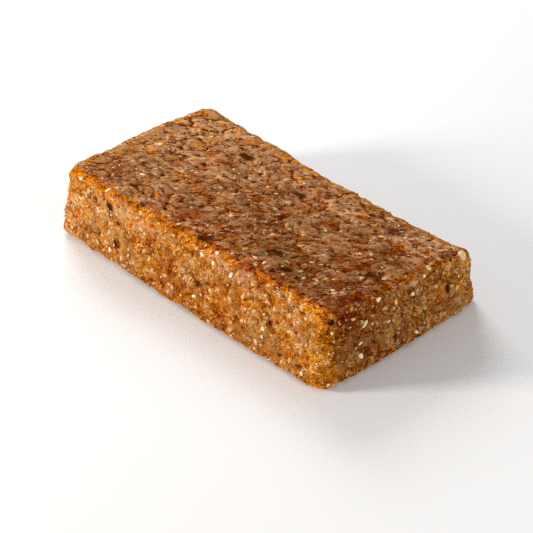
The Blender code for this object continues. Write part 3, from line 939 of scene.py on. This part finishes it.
def add_chopped_piece(whole, points, where, shade, surface):
    """Adds the hull of some points to a mesh, set on the bar, with its shade and the paste on its foot."""
    piece = bmesh.new()
    for point in points:
        piece.verts.new(point)
    bmesh.ops.convex_hull(piece, input=piece.verts)
    bmesh.ops.bevel(piece, geom=piece.edges, offset=0.06 * MM, segments=1, affect="EDGES", profile=0.5)
    bmesh.ops.triangulate(piece, faces=piece.faces)
    bmesh.ops.subdivide_edges(piece, edges=piece.edges, cuts=1, use_grid_fill=True)
    piece.transform(where)
    mesh = bpy.data.meshes.new("piece")
    piece.to_mesh(mesh)
    piece.free()
    first = len(whole.verts)
    whole.from_mesh(mesh)
    bpy.data.meshes.remove(mesh)
    whole.verts.ensure_lookup_table()
    shade_layer = whole.verts.layers.float["shade"]
    stand_layer = whole.verts.layers.float["stand"]
    for vert in whole.verts[first:]:
        near, up, _, _ = surface.find_nearest(vert.co)
        vert[shade_layer] = shade
        vert[stand_layer] = min(1.0, max(0.0, (vert.co - near).dot(up) / SMEAR))


def chopped_mesh(name, whole):
    mesh = bpy.data.meshes.new(name)
    whole.to_mesh(mesh)
    whole.free()
    mesh.shade_smooth()
    mesh.set_sharp_from_angle(angle=radians(28))
    return mesh


def empty_whole():
    whole = bmesh.new()
    whole.verts.layers.float.new("shade")
    whole.verts.layers.float.new("stand")
    return whole


def chopped_nut_mesh(surface):
    """The solid's chopped nuts at the same places, the ones that show best being the palest."""
    rng = random.Random(SEED)
    whole = empty_whole()
    for index, (spot, length, width) in enumerate(nut_places(rng)):
        place, normal, _, _ = surface.find_nearest(spot - BOX_MIDDLE)
        turn = Matrix.Rotation(rng.uniform(0, tau), 4, "Z")
        stand = normal.to_track_quat("Z", "X").to_matrix().to_4x4()
        points = nut_points(length, width, width * 0.8, rng)
        where = Matrix.Translation(place - normal * width * NUT_SUNK / 2) @ stand @ turn
        shade = (index * GOLDEN) % 1.0
        shade = 0.75 + 0.25 * shade if index < len(SHOWN_NUTS) else 0.6 * shade
        add_chopped_piece(whole, points, where, shade, surface)
    return chopped_mesh("chopped_nuts", whole)


def flake_mesh(surface):
    """The thin pale flakes, lying flat on the bar, each turned as it shows."""
    rng = random.Random(SEED)
    whole = empty_whole()
    for place, length, width, turn in SHOWN_FLAKES:
        spot, normal, _, _ = surface.find_nearest(uneven(rounded_slab(Vector(place))) - BOX_MIDDLE)
        level = Vector((0, 0, 1)).cross(normal) if abs(normal.z) < 0.7 else Vector((1, 0, 0))
        along = (level - normal * level.dot(normal)).normalized()
        stand = Matrix((along, normal.cross(along), normal)).transposed().to_4x4()
        points = nut_points(length, width, width * 0.5, rng)
        where = Matrix.Translation(spot) @ stand @ Matrix.Rotation(radians(turn), 4, "Z")
        add_chopped_piece(whole, points, where, rng.uniform(0.75, 1.0), surface)
    return chopped_mesh("pale_flakes", whole)


def surface_samples(mesh, count, side_share, seed):
    """Evenly drawn places on the bar, as points and normals, with a share of them on the cut sides."""
    draw = np.random.default_rng(seed)
    faces = len(mesh.polygons)
    centre, normal, area = np.zeros(faces * 3), np.zeros(faces * 3), np.zeros(faces)
    mesh.polygons.foreach_get("center", centre)
    mesh.polygons.foreach_get("normal", normal)
    mesh.polygons.foreach_get("area", area)
    centre, normal = centre.reshape(-1, 3), normal.reshape(-1, 3)
    low = centre[:, 2] < 0.4 * MM
    side = (np.abs(normal[:, 2]) < 0.75) & ~low
    top = (normal[:, 2] > 0.75) & ~low
    on_top = np.where(top, (1 - side_share) / area[top].sum(), 0)
    chance = area * np.where(side, side_share / area[side].sum(), on_top)
    picked = draw.choice(faces, count, replace=False, p=chance / chance.sum())
    return centre[picked], normal[picked], draw


def crumb_mesh(name, paste, count, lengths, widths, side_share, stand_out, flatness, seed):
    """Many crumbs joined in one mesh: each a ball chopped flat by a few planes, lying along the surface."""
    places, normals, draw = surface_samples(paste, count, side_share, seed)
    template = bmesh.new()
    bmesh.ops.create_icosphere(template, subdivisions=1, radius=1.0)
    ball = np.array([v.co for v in template.verts])
    corners = np.array([[v.index for v in f.verts] for f in template.faces])
    template.free()
    size = draw.uniform(lengths[0], lengths[1], count) * draw.uniform(0.8, 1.0, count)
    width = size * draw.uniform(widths[0], widths[1], count)
    height = width * draw.uniform(flatness * 0.6, flatness, count)
    shape = np.broadcast_to(ball, (count, *ball.shape)) * draw.uniform(0.75, 1.0, (count, len(ball), 1))
    for _ in range(CRUMB_CHOPS):
        plane = draw.normal(size=(count, 3))
        plane /= np.linalg.norm(plane, axis=1, keepdims=True)
        reach = draw.uniform(*CRUMB_CHOPPED_AT, count)
        over = np.einsum("nvk,nk->nv", shape, plane) - reach[:, None]
        shape = shape - np.maximum(over, 0)[:, :, None] * plane[:, None, :]
    shape = shape * np.stack([size, width, height], 1)[:, None, :] / 2
    tilt = draw.normal(0, CRUMB_TILT, (count, 3))
    up = normals + tilt
    up /= np.linalg.norm(up, axis=1, keepdims=True)
    level = np.cross(normals, (0.0, 0.0, 1.0))
    turn = draw.normal(0, CRUMB_TURN, (count, 3)) + level * draw.choice((-1, 1), (count, 1))
    along = turn - up * np.sum(turn * up, axis=1, keepdims=True)
    along /= np.linalg.norm(along, axis=1, keepdims=True)
    axes = np.stack([along, np.cross(up, along), up], 1)
    sunk = height * (0.5 - stand_out)
    points = np.einsum("nvk,nkj->nvj", shape, axes) + (places - normals * sunk[:, None])[:, None, :]
    points[:, :, 2] = np.maximum(points[:, :, 2], 0.0)
    stand = np.einsum("nvj,nj->nv", points - places[:, None, :], normals) / SMEAR
    faces = (corners[None] + (np.arange(count) * len(ball))[:, None, None]).reshape(-1, 3)
    mesh = bpy.data.meshes.new(name)
    mesh.from_pydata(points.reshape(-1, 3).tolist(), [], faces.tolist())
    store(mesh, "shade", np.repeat(draw.random(count), len(ball)))
    store(mesh, "stand", np.clip(stand, 0, 1).ravel())
    return mesh


def add_piece(mesh, material):
    piece = bpy.data.objects.new(mesh.name, mesh)
    bpy.context.scene.collection.objects.link(piece)
    mesh.materials.append(material)
    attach(piece, "root")
    return piece


def dress_bar():
    """The paste, and on it each kind of crumb as one joined piece."""
    paste = add_piece(paste_mesh(), date_paste())
    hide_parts("granola_bar")
    body = bmesh.new()
    body.from_mesh(paste.data)
    surface = BVHTree.FromBMesh(body)
    body.free()

    nut_stops = ((0.0, "#B87A34"), (0.35, "#CC9A58"), (0.7, "#DEB880"), (1.0, "#F0DCB8"))
    nut = crumb_material("nut_flesh_chopped", nut_stops, 0.4, 0.1, 0.3)
    add_piece(chopped_nut_mesh(surface), nut)
    add_piece(flake_mesh(surface), nut)

    add_piece(crumb_mesh("small_nuts", paste.data, **SMALL_NUTS), nut)
    add_piece(crumb_mesh("nut_splinters", paste.data, **NUT_SPLINTERS), nut)

    meal_stops = ((0.0, "#A05A20"), (0.3, "#BC7838"), (0.6, "#CC9254"), (0.85, "#DEB07C"), (1.0, "#F0D0A4"))
    ground = crumb_material("nut_meal_in_syrup", meal_stops, 0.4, 0.0, 0.25)
    add_piece(crumb_mesh("nut_meal", paste.data, **NUT_MEAL), ground)

    syrup_stops = ((0.0, "#A04C04"), (0.4, "#CC6E08"), (0.8, "#E69020"), (1.0, "#F4B454"))
    syrup = crumb_material("date_syrup_set", syrup_stops, 0.3, 0.0, 0.45)
    add_piece(crumb_mesh("syrup_drops", paste.data, **SYRUP_DROPS), syrup)

    date_stops = ((0.0, "#4A1C08"), (0.2, "#6E3212"), (0.6, "#924E1E"), (1.0, "#A86232"))
    date = crumb_material("date_flesh_torn", date_stops, 0.3, 0.0, 0.5)
    add_piece(crumb_mesh("date_bits", paste.data, **DATE_BITS), date)


def light_area(name, energy, size, place, colour):
    light = bpy.data.lights.new(name, "AREA")
    light.energy = energy
    light.size = size
    light.color = srgb(colour)[:3]
    lamp = bpy.data.objects.new(name, light)
    lamp.location = place
    lamp.rotation_euler = (Vector(LIGHTS_AIM) - Vector(place)).to_track_quat("-Z", "Y").to_euler()
    bpy.context.scene.collection.objects.link(lamp)


def set_stage():
    """A pale floor, soft lights and the photograph's camera."""
    scene = bpy.context.scene
    world = bpy.data.worlds.new("studio")
    scene.world = world
    world.use_nodes = True
    world.node_tree.nodes["Background"].inputs["Color"].default_value = (1.0, 1.0, 1.0, 1.0)
    world.node_tree.nodes["Background"].inputs["Strength"].default_value = ALL_ROUND
    world.cycles_visibility.glossy = False
    scene.view_settings.view_transform = "Standard"
    scene.cycles.use_denoising = False

    half = FLOOR_HALF
    floor_mesh = bpy.data.meshes.new("floor")
    corners = [(-half, -half, 0), (half, -half, 0), (half, half, 0), (-half, half, 0)]
    floor_mesh.from_pydata(corners, [], [(0, 1, 2, 3)])
    floor = bpy.data.objects.new("floor", floor_mesh)
    scene.collection.objects.link(floor)
    material, _, shader = new_material("pale_card")
    shader.inputs["Base Color"].default_value = srgb("#F4F4F4")
    shader.inputs["Roughness"].default_value = 0.7
    floor_mesh.materials.append(material)
    floor.visible_glossy = False

    for light in LIGHTS:
        light_area(*light)

    camera = bpy.data.objects.new("camera", bpy.data.cameras.new("camera"))
    back = Vector((
        sin(CAMERA_TURN) * cos(CAMERA_RISE),
        -cos(CAMERA_TURN) * cos(CAMERA_RISE),
        sin(CAMERA_RISE),
    ))
    camera.location = CAMERA_TARGET + back * CAMERA_DISTANCE
    camera.rotation_euler = (-back).to_track_quat("-Z", "Y").to_euler()
    camera.data.lens = CAMERA_LENS
    camera.data.sensor_width = CAMERA_SENSOR
    scene.collection.objects.link(camera)
    scene.camera = camera


set_stage()
dress_bar()
